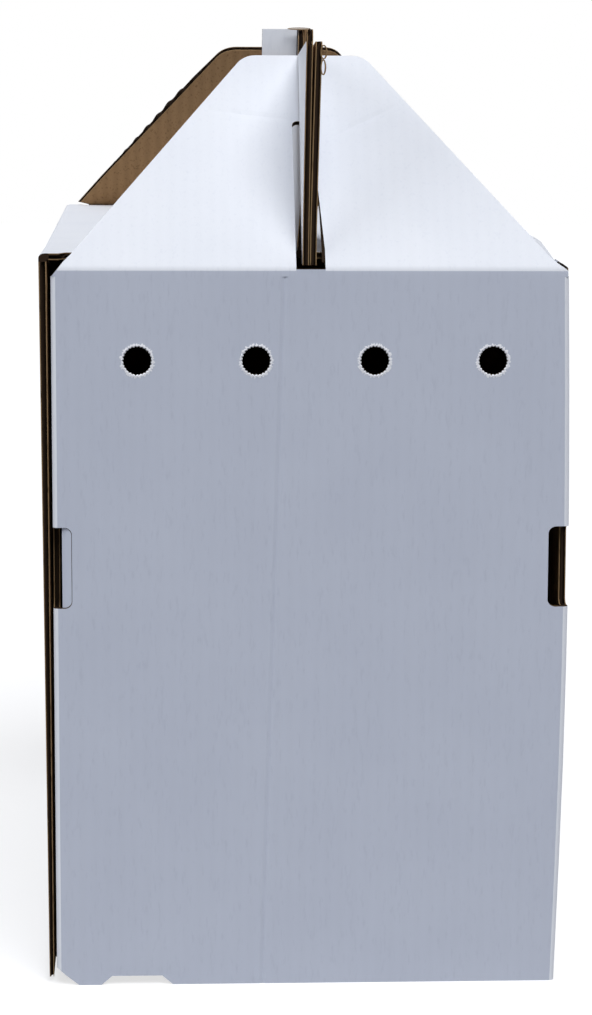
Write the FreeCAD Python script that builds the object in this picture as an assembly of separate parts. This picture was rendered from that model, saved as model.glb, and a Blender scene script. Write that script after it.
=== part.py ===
"""Folded corrugated-board pet carrier with a gable top and a carrying handle.

Millimetres, +Z up, origin at the bottom centre. +X is the right-hand side panel, -Y is the front end.
Each panel between two creases is a solid of its own. A crease turns about the edge of the liner on
the outside of its bend, so the boards on both sides of it are cut back along the bisector.
"""
import math
import os

import FreeCAD
import Part

# Board
BOARD = 3.5
CREASE_GAP = 0.3
LAP_GAP = 2.0

# Carrier body
END_WIDTH = 280.0
END_HEIGHT = 402.0
LENGTH = 440.0
ROOF_RISE = 7.5
SIDE_SETBACK = 5.0
LAP_FLAP_LENGTH = 45.0
FOLD_RADIUS = 2.6

# Air holes in the two end panels
HOLE_DIAMETER = 16.2
HOLE_PITCH = 64.4
HOLE_COUNT = 4
HOLE_DROP = 50.0
HOLE_SHIFT = 3.0

# Slots across the two front corners, and the flap that is left in the left one
SLOT_HEIGHT = 45.0
SLOT_REACH = 10.4
SLOT_CENTRE_DROP = 164.0
SLOT_ROUND = 4.0
SLOT_FLAP_WIDTH = 5.4
SLOT_FLAP_GAP = 0.3

# Foot of the front panel
FOOT_RECESS_WIDTH = 28.0
FOOT_RECESS_SLOPE = 6.0
FOOT_RECESS_DEPTH = 5.2
FOOT_TONGUE = 12.5
FOOT_CHAMFER_WIDTH = 12.5
FOOT_CHAMFER_HEIGHT = 10.0

# Bottom flaps
BOTTOM_FLAP_REACH = 134.0
BOTTOM_FLAP_GAP = 0.5

# End flaps
FLAP_LEAN = 38.9
FLAP_LENGTH = 144.4
FLAP_BASE_INSET = 3.2
FLAP_RELIEF_RISE = 8.3
FLAP_RELIEF_RUN = 7.0
FLAP_TOP_WIDTH = 67.0
FLAP_TOP_ROUND = 13.0
FLAP_SLOT_LENGTH = 98.4
FLAP_SLOT_WIDTH = 13.2
FLAP_SLOT_ROUND = 3.0
FLAP_SLOT_SHIFT = 1.6

# Roof panels
ROOF_CORNER_GAP = 6.0
ROOF_STEP_RUN = 3.5
ROOF_FLAP_GAP = 0.9
ROOF_TAPER = 0.04

# Handle
HANDLE_OVER_FLAP = 14.6
HANDLE_SPLIT = 0.6
HANDLE_FLAP_GAP = 1.0
HANDLE_FOOT_GAP = 5.5
HANDLE_FOOT_RISE = 12.0
HANDLE_CLEAR_RISE = 34.0
HANDLE_END_ROUND = 7.0
HAND_HOLE_LENGTH = 100.0
HAND_HOLE_HEIGHT = 32.0
HAND_HOLE_DROP = 36.0

# Ears of the handle, in front of the end flaps
EAR_SETBACK = 3.0
EAR_BOTTOM_RISE = 1.5
EAR_OVER_FLAP = 8.6
EAR_BACK_DROP = 8.0
EAR_FLAP_GAP = 1.0
EAR_ROUND = 4.0
EAR_ROOF_GAP = 0.8

# Wing cut out of the left handle panel beside its front end
WING_WIDTH = 20.0
WING_HEIGHT = 26.0
WING_STRIP = 6.0
WING_GAP = 0.4

# Derived places
OUTER_WIDTH = END_WIDTH + BOARD + LAP_GAP
LEFT = -OUTER_WIDTH / 2
RIGHT = OUTER_WIDTH / 2
FRONT = -LENGTH / 2
REAR = LENGTH / 2
FRONT_LEFT = RIGHT - END_WIDTH
CENTRE = RIGHT - END_WIDTH / 2
SEAM = (LEFT + RIGHT) / 2
SIDE_HEIGHT = END_HEIGHT + ROOF_RISE
LEAN = math.radians(FLAP_LEAN)
TAN_LEAN = math.tan(LEAN)
BOARD_ACROSS = BOARD / math.cos(LEAN)
HANDLE_BASE = ROOF_RISE - BOARD
FLAP_TOP = FLAP_LENGTH * math.cos(LEAN)
HANDLE_RISE = FLAP_TOP + HANDLE_OVER_FLAP
EAR_RISE = FLAP_TOP + EAR_OVER_FLAP
SLOT_MIDDLE = END_HEIGHT - SLOT_CENTRE_DROP
HALF_FLAP_BASE = END_WIDTH / 2 - FLAP_BASE_INSET
HALF_FLAP_RELIEF = HALF_FLAP_BASE - FLAP_RELIEF_RUN
LEFT_ROOF_RUN = CENTRE - HALF_FLAP_RELIEF - LEFT - ROOF_CORNER_GAP
RIGHT_ROOF_RUN = RIGHT - CENTRE - HALF_FLAP_RELIEF - ROOF_CORNER_GAP


def vector(x, y, z):
    """A point in the carrier's frame."""
    return FreeCAD.Vector(x, y, z)


def plate(points, direction):
    """Solid from a closed outline of (x, y, z) points, pushed along a direction."""
    corners = [vector(*point) for point in points]
    face = Part.Face(Part.makePolygon(corners + corners[:1]))
    return face.extrude(vector(*direction))


def board_box(x_low, x_high, y_low, y_high, z_low, z_high):
    """Rectangular solid between two corners."""
    corner = vector(x_low, y_low, z_low)
    return Part.makeBox(x_high - x_low, y_high - y_low, z_high - z_low, corner)


def fillet_edges(solid, radius, wanted):
    """Round the edges whose middle and direction pass a test."""
    chosen = []
    for edge in solid.Edges:
        middle = edge.valueAt((edge.FirstParameter + edge.LastParameter) / 2)
        along = edge.tangentAt(edge.FirstParameter)
        if wanted(middle, along):
            chosen.append(edge)
    return solid.makeFillet(radius, chosen)


def mirrored_front_to_rear(solid):
    """The same piece at the rear end."""
    return solid.mirror(vector(0, 0, 0), vector(0, 1, 0))


def mirrored_left_to_right(solid):
    """The same piece on the right of the handle's plane."""
    return solid.mirror(vector(SEAM, 0, 0), vector(1, 0, 0))


def flap_inner_y(rise):
    """Distance from the front face to the leaning flap's inner face, at a rise above its crease."""
    return rise * TAN_LEAN + BOARD_ACROSS


def slot_cutter_across_front(corner_x):
    """Rounded slot through an end panel, centred on a corner crease."""
    cutter = board_box(
        corner_x - SLOT_REACH,
        corner_x + SLOT_REACH,
        FRONT - BOARD,
        FRONT + BOARD,
        SLOT_MIDDLE - SLOT_HEIGHT / 2,
        SLOT_MIDDLE + SLOT_HEIGHT / 2,
    )
    return fillet_edges(cutter, SLOT_ROUND, lambda middle, along: abs(along.y) > 0.5)


def slot_cutter_across_side(corner_x):
    """The same slot where it goes round the corner into a side board."""
    cutter = board_box(
        corner_x - 2 * BOARD,
        corner_x + 2 * BOARD,
        FRONT - SLOT_REACH,
        FRONT + SLOT_REACH,
        SLOT_MIDDLE - SLOT_HEIGHT / 2,
        SLOT_MIDDLE + SLOT_HEIGHT / 2,
    )
    return fillet_edges(cutter, SLOT_ROUND, lambda middle, along: abs(along.x) > 0.5)


def end_panel_blank(x_low):
    """Front end panel with its bevelled top crease and its air holes."""
    drop = BOARD * math.tan(LEAN / 2)
    outline = [
        (x_low, FRONT, 0),
        (x_low, FRONT + BOARD, 0),
        (x_low, FRONT + BOARD, END_HEIGHT - drop),
        (x_low, FRONT, END_HEIGHT),
    ]
    panel = plate(outline, (RIGHT - x_low, 0, 0))
    panel = fillet_edges(
        panel,
        FOLD_RADIUS,
        lambda middle, along: abs(along.z) > 0.9 and middle.y < FRONT + BOARD / 2,
    )
    first = CENTRE + HOLE_SHIFT - HOLE_PITCH * (HOLE_COUNT - 1) / 2
    for index in range(HOLE_COUNT):
        start = vector(first + index * HOLE_PITCH, FRONT - BOARD, END_HEIGHT - HOLE_DROP)
        panel = panel.cut(Part.makeCylinder(HOLE_DIAMETER / 2, 3 * BOARD, start, vector(0, 1, 0)))
    return panel


def front_end_panel():
    """Front panel with the corner slots, the foot's recess and its clipped left corner."""
    panel = end_panel_blank(FRONT_LEFT)
    panel = panel.cut(slot_cutter_across_front(FRONT_LEFT))
    panel = panel.cut(slot_cutter_across_front(RIGHT))
    recess_left = FRONT_LEFT + FOOT_CHAMFER_WIDTH + FOOT_TONGUE
    inner_left = recess_left + FOOT_RECESS_SLOPE
    inner_right = inner_left + FOOT_RECESS_WIDTH
    recess = [
        (recess_left, FRONT - BOARD, 0),
        (inner_left, FRONT - BOARD, FOOT_RECESS_DEPTH),
        (inner_right, FRONT - BOARD, FOOT_RECESS_DEPTH),
        (inner_right + FOOT_RECESS_SLOPE, FRONT - BOARD, 0),
    ]
    panel = panel.cut(plate(recess, (0, 3 * BOARD, 0)))
    clip = [
        (FRONT_LEFT - BOARD, FRONT - BOARD, FOOT_CHAMFER_HEIGHT * (1 + BOARD / FOOT_CHAMFER_WIDTH)),
        (FRONT_LEFT + FOOT_CHAMFER_WIDTH, FRONT - BOARD, 0),
        (FRONT_LEFT - BOARD, FRONT - BOARD, 0),
    ]
    return panel.cut(plate(clip, (0, 3 * BOARD, 0)))


def rear_end_panel():
    """Rear panel, across the full width of the carrier."""
    return mirrored_front_to_rear(end_panel_blank(LEFT))


def side_panel_blank():
    """Left side panel with its bevelled roof crease."""
    outline = [
        (LEFT, FRONT + SIDE_SETBACK, BOARD),
        (LEFT + BOARD, FRONT + SIDE_SETBACK, BOARD),
        (LEFT + BOARD, FRONT + SIDE_SETBACK, SIDE_HEIGHT - BOARD),
        (LEFT, FRONT + SIDE_SETBACK, SIDE_HEIGHT),
    ]
    return plate(outline, (0, LENGTH - BOARD - SIDE_SETBACK, 0))


def right_side_panel():
    """Right side panel, which folds from the front panel at a slotted corner."""
    outline = [
        (RIGHT, FRONT + BOARD, BOARD),
        (RIGHT - BOARD, FRONT + BOARD, BOARD),
        (RIGHT - BOARD, FRONT + BOARD, SIDE_HEIGHT - BOARD),
        (RIGHT, FRONT + BOARD, SIDE_HEIGHT),
    ]
    panel = plate(outline, (0, LENGTH - 2 * BOARD, 0))
    above_end = board_box(
        RIGHT - 2 * BOARD,
        RIGHT + BOARD,
        FRONT,
        FRONT + SIDE_SETBACK,
        END_HEIGHT,
        SIDE_HEIGHT,
    )
    return panel.cut(above_end).cut(slot_cutter_across_side(RIGHT))


def corner_lap_flap():
    """Glue flap that folds back from the front panel, inside the left side panel."""
    flap = board_box(
        FRONT_LEFT,
        FRONT_LEFT + BOARD,
        FRONT + BOARD,
        FRONT + BOARD + LAP_FLAP_LENGTH,
        3 * BOARD,
        END_HEIGHT - 2 * BOARD,
    )
    return flap.cut(slot_cutter_across_side(FRONT_LEFT))


def left_slot_flap():
    """Knocked-in flap that still hangs at the inner edge of the left corner slot."""
    hinge_x = FRONT_LEFT + SLOT_REACH
    half = SLOT_HEIGHT / 2 - SLOT_FLAP_GAP
    flap = board_box(
        hinge_x - SLOT_FLAP_WIDTH,
        hinge_x - SLOT_FLAP_GAP,
        FRONT,
        FRONT + BOARD,
        SLOT_MIDDLE - half,
        SLOT_MIDDLE + half,
    )
    return fillet_edges(
        flap,
        SLOT_ROUND,
        lambda middle, along: abs(along.y) > 0.5 and middle.x > hinge_x - 2 * SLOT_FLAP_GAP,
    )


def front_bottom_flap():
    """Outer bottom flap of the front panel, beside the recess in its foot."""
    used = FOOT_CHAMFER_WIDTH + FOOT_TONGUE + FOOT_RECESS_WIDTH + 2 * FOOT_RECESS_SLOPE
    return board_box(
        FRONT_LEFT + used,
        RIGHT - BOARD,
        FRONT + BOARD,
        FRONT + BOARD + BOTTOM_FLAP_REACH,
        0,
        BOARD,
    )


def rear_bottom_flap():
    """Outer bottom flap of the rear panel."""
    return board_box(LEFT + BOARD, RIGHT - BOARD, REAR - BOARD - BOTTOM_FLAP_REACH, REAR - BOARD, 0, BOARD)


def left_bottom_flap():
    """Inner bottom flap of the left side panel, up to the middle of the floor."""
    front = FRONT + SIDE_SETBACK
    middle = SEAM - BOTTOM_FLAP_GAP / 2
    return board_box(LEFT + BOARD, middle, front, REAR - BOARD, BOARD, 2 * BOARD)


def right_bottom_flap():
    """Inner bottom flap of the right side panel."""
    front = FRONT + SIDE_SETBACK
    middle = SEAM + BOTTOM_FLAP_GAP / 2
    return board_box(middle, RIGHT - BOARD, front, REAR - BOARD, BOARD, 2 * BOARD)


def roof_end(distance):
    """How far the roof's end is cut back from the front face, at a distance from the side panel."""
    return flap_inner_y(ROOF_RISE) + ROOF_FLAP_GAP + ROOF_TAPER * distance


def left_roof_panel(corner_run):
    """Flat roof half from the left side panel to the handle, with its ends cut back for the flaps."""
    inner = SEAM - HANDLE_SPLIT / 2
    section = [
        (LEFT + CREASE_GAP, FRONT, SIDE_HEIGHT),
        (LEFT + BOARD + CREASE_GAP, FRONT, SIDE_HEIGHT - BOARD),
        (inner, FRONT, SIDE_HEIGHT - BOARD),
        (inner - BOARD, FRONT, SIDE_HEIGHT),
    ]
    panel = plate(section, (0, LENGTH, 0))
    low = SIDE_HEIGHT - 2 * BOARD
    waste = [
        (LEFT - BOARD, FRONT - BOARD, low),
        (LEFT - BOARD, FRONT + SIDE_SETBACK, low),
        (LEFT + corner_run, FRONT + SIDE_SETBACK, low),
        (LEFT + corner_run + ROOF_STEP_RUN, FRONT + roof_end(0), low),
        (inner + BOARD, FRONT + roof_end(inner - LEFT), low),
        (inner + BOARD, FRONT - BOARD, low),
    ]
    cutter = plate(waste, (0, 0, 3 * BOARD))
    panel = panel.cut(cutter).cut(mirrored_front_to_rear(cutter))
    rear_stop = board_box(LEFT - BOARD, SEAM, REAR - SIDE_SETBACK, REAR, low, SIDE_HEIGHT + BOARD)
    return panel.cut(rear_stop)


def handle_outline():
    """(distance from the front face, rise above the end panels' crease) along the handle's front end."""
    foot = flap_inner_y(HANDLE_FOOT_RISE) + HANDLE_FOOT_GAP
    clear = flap_inner_y(HANDLE_CLEAR_RISE) + HANDLE_FLAP_GAP
    body = flap_inner_y(FLAP_TOP) + HANDLE_FLAP_GAP
    return [
        (foot, HANDLE_BASE),
        (foot, HANDLE_FOOT_RISE),
        (clear, HANDLE_CLEAR_RISE),
        (body, FLAP_TOP),
        (body, HANDLE_RISE),
    ]


def left_handle_panel():
    """Left half of the handle: a board with a hand hole, between and behind the two end flaps."""
    inner = SEAM - HANDLE_SPLIT / 2
    front = [(inner, FRONT + y, END_HEIGHT + rise) for y, rise in handle_outline()]
    rear = [(inner, -y, z) for _, y, z in reversed(front)]
    panel = plate(front + rear, (-BOARD, 0, 0))
    panel = fillet_edges(
        panel,
        HANDLE_END_ROUND,
        lambda middle, along: abs(along.x) > 0.9 and middle.z > END_HEIGHT + HANDLE_RISE - BOARD,
    )
    crease = END_HEIGHT + ROOF_RISE - BOARD
    bevel = [
        (inner + BOARD, FRONT, crease + CREASE_GAP - BOARD),
        (inner - 2 * BOARD, FRONT, crease + CREASE_GAP + 2 * BOARD),
        (inner - 2 * BOARD, FRONT, crease - 2 * BOARD),
    ]
    panel = panel.cut(plate(bevel, (0, LENGTH, 0)))
    return panel.cut(hand_hole_cutter())


def hand_hole_cutter():
    """Round-ended hole through both handle panels."""
    z_top = END_HEIGHT + HANDLE_RISE - HAND_HOLE_DROP + HAND_HOLE_HEIGHT / 2
    cutter = board_box(
        SEAM - 3 * BOARD,
        SEAM + 3 * BOARD,
        -HAND_HOLE_LENGTH / 2,
        HAND_HOLE_LENGTH / 2,
        z_top - HAND_HOLE_HEIGHT,
        z_top,
    )
    return fillet_edges(cutter, HAND_HOLE_HEIGHT * 0.48, lambda middle, along: abs(along.x) > 0.5)


def wing_place():
    """(outer face x, crease y, lowest z) of the wing beside the handle's front end."""
    outer = SEAM - HANDLE_SPLIT / 2 - BOARD
    crease = FRONT + handle_outline()[-1][0] + WING_STRIP
    return outer, crease, END_HEIGHT + HANDLE_RISE - WING_HEIGHT


def wing_window():
    """Window that the wing leaves in the left handle panel."""
    outer, crease, low = wing_place()
    return board_box(
        outer - BOARD,
        outer + BOARD + HANDLE_SPLIT / 2,
        crease - WING_GAP,
        crease + WING_WIDTH + WING_GAP,
        low - WING_GAP,
        END_HEIGHT + HANDLE_RISE + BOARD,
    )


def lock_wing():
    """Wing folded out of the left handle panel, behind the front flap's top edge."""
    outer, crease, low = wing_place()
    top = END_HEIGHT + HANDLE_RISE
    return board_box(outer - WING_WIDTH, outer - WING_GAP, crease, crease + BOARD, low, top)


def left_front_ear():
    """Front ear of the left handle panel: it comes through the flap's slot and stands before its bridge."""
    inner = SEAM - HANDLE_SPLIT / 2
    slot_end = FLAP_SLOT_LENGTH - EAR_FLAP_GAP
    bridge_y = slot_end * math.sin(LEAN) - EAR_FLAP_GAP
    bridge_rise = slot_end * math.cos(LEAN)
    through = BOARD + (EAR_FLAP_GAP + HANDLE_FLAP_GAP) * math.cos(LEAN)
    roof_front = roof_end(inner - LEFT) - EAR_ROOF_GAP
    roof_top = ROOF_RISE + EAR_ROOF_GAP
    back_rise = EAR_RISE - EAR_BACK_DROP
    handle = handle_outline()
    outline = [
        (EAR_SETBACK, EAR_BOTTOM_RISE),
        (EAR_SETBACK, EAR_RISE),
        (back_rise * TAN_LEAN - EAR_FLAP_GAP / math.cos(LEAN), back_rise),
        (bridge_y, bridge_rise),
        (bridge_y + through * math.cos(LEAN), bridge_rise - through * math.sin(LEAN)),
        handle[2],
        handle[1],
        (handle[1][0], roof_top),
        (roof_front, roof_top),
        (roof_front, EAR_BOTTOM_RISE),
    ]
    points = [(inner, FRONT + y, END_HEIGHT + rise) for y, rise in outline]
    ear = plate(points, (-BOARD, 0, 0))
    return fillet_edges(
        ear,
        EAR_ROUND,
        lambda middle, along: abs(along.x) > 0.9 and middle.z > END_HEIGHT + EAR_RISE - EAR_BACK_DROP / 2,
    )


def front_end_flap():
    """Tapered flap that leans in from the front panel and hooks over the handle's ears."""
    half_top = FLAP_TOP_WIDTH / 2
    right_edge = [(HALF_FLAP_BASE, 0), (HALF_FLAP_RELIEF, FLAP_RELIEF_RISE), (half_top, FLAP_LENGTH)]
    left_edge = [(-x, rise) for x, rise in reversed(right_edge)]
    outline = [(CENTRE + x, FRONT, END_HEIGHT + rise) for x, rise in right_edge + left_edge]
    flap = plate(outline, (0, BOARD, 0))
    flap = fillet_edges(
        flap,
        FLAP_TOP_ROUND,
        lambda middle, along: abs(along.y) > 0.9 and middle.z > END_HEIGHT + FLAP_LENGTH - BOARD,
    )
    slot_middle = SEAM + FLAP_SLOT_SHIFT
    slot = board_box(
        slot_middle - FLAP_SLOT_WIDTH / 2,
        slot_middle + FLAP_SLOT_WIDTH / 2,
        FRONT - BOARD,
        FRONT + 2 * BOARD,
        END_HEIGHT - BOARD,
        END_HEIGHT + FLAP_SLOT_LENGTH,
    )
    slot = fillet_edges(
        slot,
        FLAP_SLOT_ROUND,
        lambda middle, along: abs(along.y) > 0.5 and middle.z > END_HEIGHT,
    )
    foot = BOARD * math.tan(LEAN / 2) + CREASE_GAP
    bevel = [
        (CENTRE - END_WIDTH, FRONT, END_HEIGHT),
        (CENTRE - END_WIDTH, FRONT + 2 * BOARD, END_HEIGHT + 2 * foot),
        (CENTRE - END_WIDTH, FRONT + 2 * BOARD, END_HEIGHT - BOARD),
        (CENTRE - END_WIDTH, FRONT, END_HEIGHT - BOARD),
    ]
    flap = flap.cut(slot).cut(plate(bevel, (2 * END_WIDTH, 0, 0)))
    flap.rotate(vector(0, FRONT, END_HEIGHT), vector(1, 0, 0), -FLAP_LEAN)
    return flap


def carrier_pieces():
    """Every piece of the carrier, by name."""
    mirrored_roof = left_roof_panel(RIGHT_ROOF_RUN)
    left_handle = left_handle_panel()
    front_flap = front_end_flap()
    front_ear = left_front_ear()
    rear_ear = mirrored_front_to_rear(front_ear)
    return {
        "front_end_panel": front_end_panel(),
        "rear_end_panel": rear_end_panel(),
        "left_side_panel": side_panel_blank(),
        "right_side_panel": right_side_panel(),
        "corner_lap_flap": corner_lap_flap(),
        "left_slot_flap": left_slot_flap(),
        "front_bottom_flap": front_bottom_flap(),
        "rear_bottom_flap": rear_bottom_flap(),
        "left_bottom_flap": left_bottom_flap(),
        "right_bottom_flap": right_bottom_flap(),
        "left_roof_panel": left_roof_panel(LEFT_ROOF_RUN),
        "right_roof_panel": mirrored_left_to_right(mirrored_roof),
        "left_handle_panel": left_handle.cut(wing_window()),
        "right_handle_panel": mirrored_left_to_right(left_handle),
        "left_front_ear": front_ear,
        "right_front_ear": mirrored_left_to_right(front_ear),
        "left_rear_ear": rear_ear,
        "right_rear_ear": mirrored_left_to_right(rear_ear),
        "front_end_flap": front_flap,
        "rear_end_flap": mirrored_front_to_rear(front_flap),
        "lock_wing": lock_wing(),
    }


def main():
    """Write one STEP file for each piece."""
    os.makedirs("parts", exist_ok=True)
    for name, shape in carrier_pieces().items():
        solids = shape.Solids
        solid = solids[0] if len(solids) == 1 else shape
        print(name, "solids", len(solids), "volume", round(shape.Volume, 1), "valid", shape.isValid())
        solid.exportStep("parts/" + name + ".step")


main()
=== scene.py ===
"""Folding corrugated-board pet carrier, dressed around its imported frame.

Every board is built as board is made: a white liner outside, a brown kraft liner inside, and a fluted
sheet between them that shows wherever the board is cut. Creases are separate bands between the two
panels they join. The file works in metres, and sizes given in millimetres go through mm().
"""

import logging
import math
import random
from dataclasses import dataclass, field
from enum import Enum
from typing import Callable

import bmesh
import bpy
from mathutils import Matrix, Vector

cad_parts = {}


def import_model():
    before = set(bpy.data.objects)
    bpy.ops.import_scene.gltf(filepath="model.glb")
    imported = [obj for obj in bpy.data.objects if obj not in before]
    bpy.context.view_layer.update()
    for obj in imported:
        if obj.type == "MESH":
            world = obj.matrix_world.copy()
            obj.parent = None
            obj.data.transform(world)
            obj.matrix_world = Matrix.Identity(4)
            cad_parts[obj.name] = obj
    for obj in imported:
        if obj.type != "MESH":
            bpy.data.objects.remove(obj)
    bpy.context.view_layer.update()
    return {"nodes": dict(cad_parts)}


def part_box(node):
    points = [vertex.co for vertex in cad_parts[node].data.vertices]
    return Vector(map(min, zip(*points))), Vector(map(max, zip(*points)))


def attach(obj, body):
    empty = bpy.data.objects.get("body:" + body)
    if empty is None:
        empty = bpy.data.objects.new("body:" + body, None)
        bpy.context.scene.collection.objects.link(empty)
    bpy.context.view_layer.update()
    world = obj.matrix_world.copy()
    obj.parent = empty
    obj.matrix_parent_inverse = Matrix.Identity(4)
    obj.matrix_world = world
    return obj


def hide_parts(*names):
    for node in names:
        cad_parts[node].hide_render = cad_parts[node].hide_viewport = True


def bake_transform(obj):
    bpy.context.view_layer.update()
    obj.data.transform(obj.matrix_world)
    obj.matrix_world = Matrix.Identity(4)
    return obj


LOG = logging.getLogger("carrier")
WELD = 1e-5
ON_PLANE = 1e-7
SHARP_ANGLE = math.radians(35.0)
X, Y, Z = Vector((1, 0, 0)), Vector((0, 1, 0)), Vector((0, 0, 1))


def mm(value: float) -> float:
    """Millimetres as metres."""
    return value / 1000.0


def clamp(value: float) -> float:
    """The value, held between zero and one."""
    return min(1.0, max(0.0, value))


def linear(hex_colour: str) -> tuple[float, float, float, float]:
    """Turn an sRGB colour, a hash and six hex digits, into linear RGBA with an alpha of one."""
    parts = [int(hex_colour[i : i + 2], 16) / 255.0 for i in (1, 3, 5)]
    r, g, b = [c / 12.92 if c <= 0.04045 else ((c + 0.055) / 1.055) ** 2.4 for c in parts]
    return (r, g, b, 1.0)


def add_node(tree: bpy.types.NodeTree, kind: str, links: dict | None = None, **settings) -> bpy.types.Node:
    """Add one node with its settings and its input values or links.

    Args:
        tree: The node tree to add to.
        kind: The node's type name.
        links: Input name or index to a value or to an output socket.
        settings: Attributes of the node itself.

    Returns:
        The new node.
    """
    node = tree.nodes.new(kind)
    for name, value in settings.items():
        setattr(node, name, value)
    for key, value in (links or {}).items():
        if isinstance(value, bpy.types.NodeSocket):
            tree.links.new(value, node.inputs[key])
        else:
            node.inputs[key].default_value = value
    return node


def mix_colours(tree: bpy.types.NodeTree, factor, a, b, **settings) -> bpy.types.NodeSocket:
    """Mix two colours, each a value or a socket, and give the result's socket."""
    links = {"Factor": factor, "A": a, "B": b}
    return add_node(tree, "ShaderNodeMix", links, data_type="RGBA", **settings).outputs["Result"]


class FluteRun(Enum):
    """The row axis along which a board's flutes follow one another."""

    ACROSS_X = "X"
    ACROSS_Y = "Y"

    @property
    def vector(self) -> Vector:
        """Unit vector from flute to flute."""
        return X if self is FluteRun.ACROSS_X else Y


class Layer(Enum):
    """Material index of each layer of a board."""

    WHITE = 0
    KRAFT = 1
    # The fluted sheet and the cut ends of the creases, near-black as painted shade.
    FLUTING_PAINTED_SHADE = 2
    CUT = 3
    # The end panels' white faces, in a greyer copy of the white liner that carries painted shade.
    END_WHITE = 4


@dataclass(frozen=True)
class PaperFinish:
    """A sheet of paper: matt fibres with cloudy formation, and the flutes behind it as bumps and as stripes
    of painted shade.
    """

    name: str
    colour: str
    cloud_colour: str
    fleck_colour: str
    roughness: float
    specular: float
    cloud_mm: float
    fibre_mm: float
    fleck_amount: float
    # How far the flute stripes darken the colour, as painted shade.
    washboard_shade: float
    bump_mm: float
    flute_pitch_mm: float = 7.2
    fibre_stretch: tuple[float, ...] = (1.0, 1.0, 0.22)
    fleck_from: float = 0.56
    fleck_to: float = 0.74
    band_waver: float = 0.6
    bump_strength: float = 0.35

    def make(self, run: FluteRun) -> bpy.types.Material:
        """Build the node material for boards whose flutes follow one another along one axis."""
        material = bpy.data.materials.new(f"{self.name}_{run.value.lower()}")
        material.use_nodes = True
        tree = material.node_tree
        shader = tree.nodes["Principled BSDF"]
        coordinates = add_node(tree, "ShaderNodeTexCoord")
        place = add_node(
            tree,
            "ShaderNodeMapping",
            {"Vector": coordinates.outputs["Object"], "Scale": (1000.0, 1000.0, 1000.0)},
        )
        position = place.outputs["Vector"]
        cloud = add_node(
            tree, "ShaderNodeTexNoise", {"Vector": position, "Scale": 1.0 / self.cloud_mm, "Detail": 4.0}
        )
        drawn = add_node(tree, "ShaderNodeMapping", {"Vector": position, "Scale": self.fibre_stretch})
        fibre = add_node(
            tree,
            "ShaderNodeTexNoise",
            {"Vector": drawn.outputs["Vector"], "Scale": 1.0 / self.fibre_mm, "Detail": 3.0},
        )
        # A wave texture of scale one repeats every 2 pi / 20.
        band_scale = 2.0 * math.pi / (20.0 * self.flute_pitch_mm)
        bands = add_node(
            tree,
            "ShaderNodeTexWave",
            {"Vector": position, "Scale": band_scale, "Distortion": self.band_waver, "Detail": 1.0},
            bands_direction=run.value,
        )
        tint = mix_colours(tree, cloud.outputs["Fac"], linear(self.colour), linear(self.cloud_colour))
        fleck_mask = add_node(
            tree,
            "ShaderNodeMapRange",
            {0: fibre.outputs["Fac"], 1: self.fleck_from, 2: self.fleck_to, 3: 0.0, 4: self.fleck_amount},
        )
        flecked = mix_colours(tree, fleck_mask.outputs[0], tint, linear(self.fleck_colour))
        # Painted shade: the colour darkens in stripes along the flutes, for the shade between the ridges that
        # they press into the liner.
        ridge_shade = add_node(
            tree,
            "ShaderNodeMapRange",
            {0: bands.outputs["Fac"], 1: 0.0, 2: 1.0, 3: 1.0 - self.washboard_shade, 4: 1.0},
        )
        shade = mix_colours(tree, 1.0, flecked, ridge_shade.outputs[0], blend_type="MULTIPLY")
        heights = {0: bands.outputs["Fac"], 1: fibre.outputs["Fac"]}
        height = add_node(tree, "ShaderNodeMath", heights, operation="ADD")
        bump = add_node(
            tree,
            "ShaderNodeBump",
            {"Height": height.outputs[0], "Strength": self.bump_strength, "Distance": mm(self.bump_mm)},
        )
        tree.links.new(shade, shader.inputs["Base Color"])
        tree.links.new(bump.outputs["Normal"], shader.inputs["Normal"])
        shader.inputs["Roughness"].default_value = self.roughness
        shader.inputs["Specular IOR Level"].default_value = self.specular
        return material


WHITE_LINER = PaperFinish(
    "coated_white_liner", "#ebeef4", "#e2e6ee", "#d4d9e4", roughness=0.62, specular=0.3, cloud_mm=46.0,
    fibre_mm=1.6, fleck_amount=0.25, washboard_shade=0.01, bump_mm=0.03
)
# The same liner on the end panels, set a little greyer and bluer to match their shaded tone: a copy of the
# white liner with painted shade.
END_LINER_PAINTED_SHADE = PaperFinish(
    "end_white_liner_painted_shade", "#c6ccda", "#bec4d3", "#b0b6c6", roughness=0.7, specular=0.25, cloud_mm=46.0,
    fibre_mm=1.6, fleck_amount=0.3, washboard_shade=0.01, bump_mm=0.03
)
KRAFT_LINER = PaperFinish(
    "brown_kraft_liner", "#a8855d", "#967450", "#6f5337", roughness=0.86, specular=0.2, cloud_mm=30.0,
    fibre_mm=1.4, fleck_amount=0.7, washboard_shade=0.12, bump_mm=0.12
)
# The fluting medium, set near-black instead of its own brown: painted shade for the hollows of the flutes.
FLUTING_PAINTED_SHADE = PaperFinish(
    "fluting_medium_painted_shade", "#33251a", "#261b12", "#160f0a", roughness=0.9, specular=0.15, cloud_mm=14.0,
    fibre_mm=1.1, fleck_amount=0.6, washboard_shade=0.0, bump_mm=0.08
)
CUT_EDGE = PaperFinish(
    "cut_liner_edge", "#a08562", "#7d6446", "#4c3925", roughness=0.9, specular=0.15, cloud_mm=5.0,
    fibre_mm=1.6, fleck_amount=0.9, washboard_shade=0.0, bump_mm=0.1
)
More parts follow.
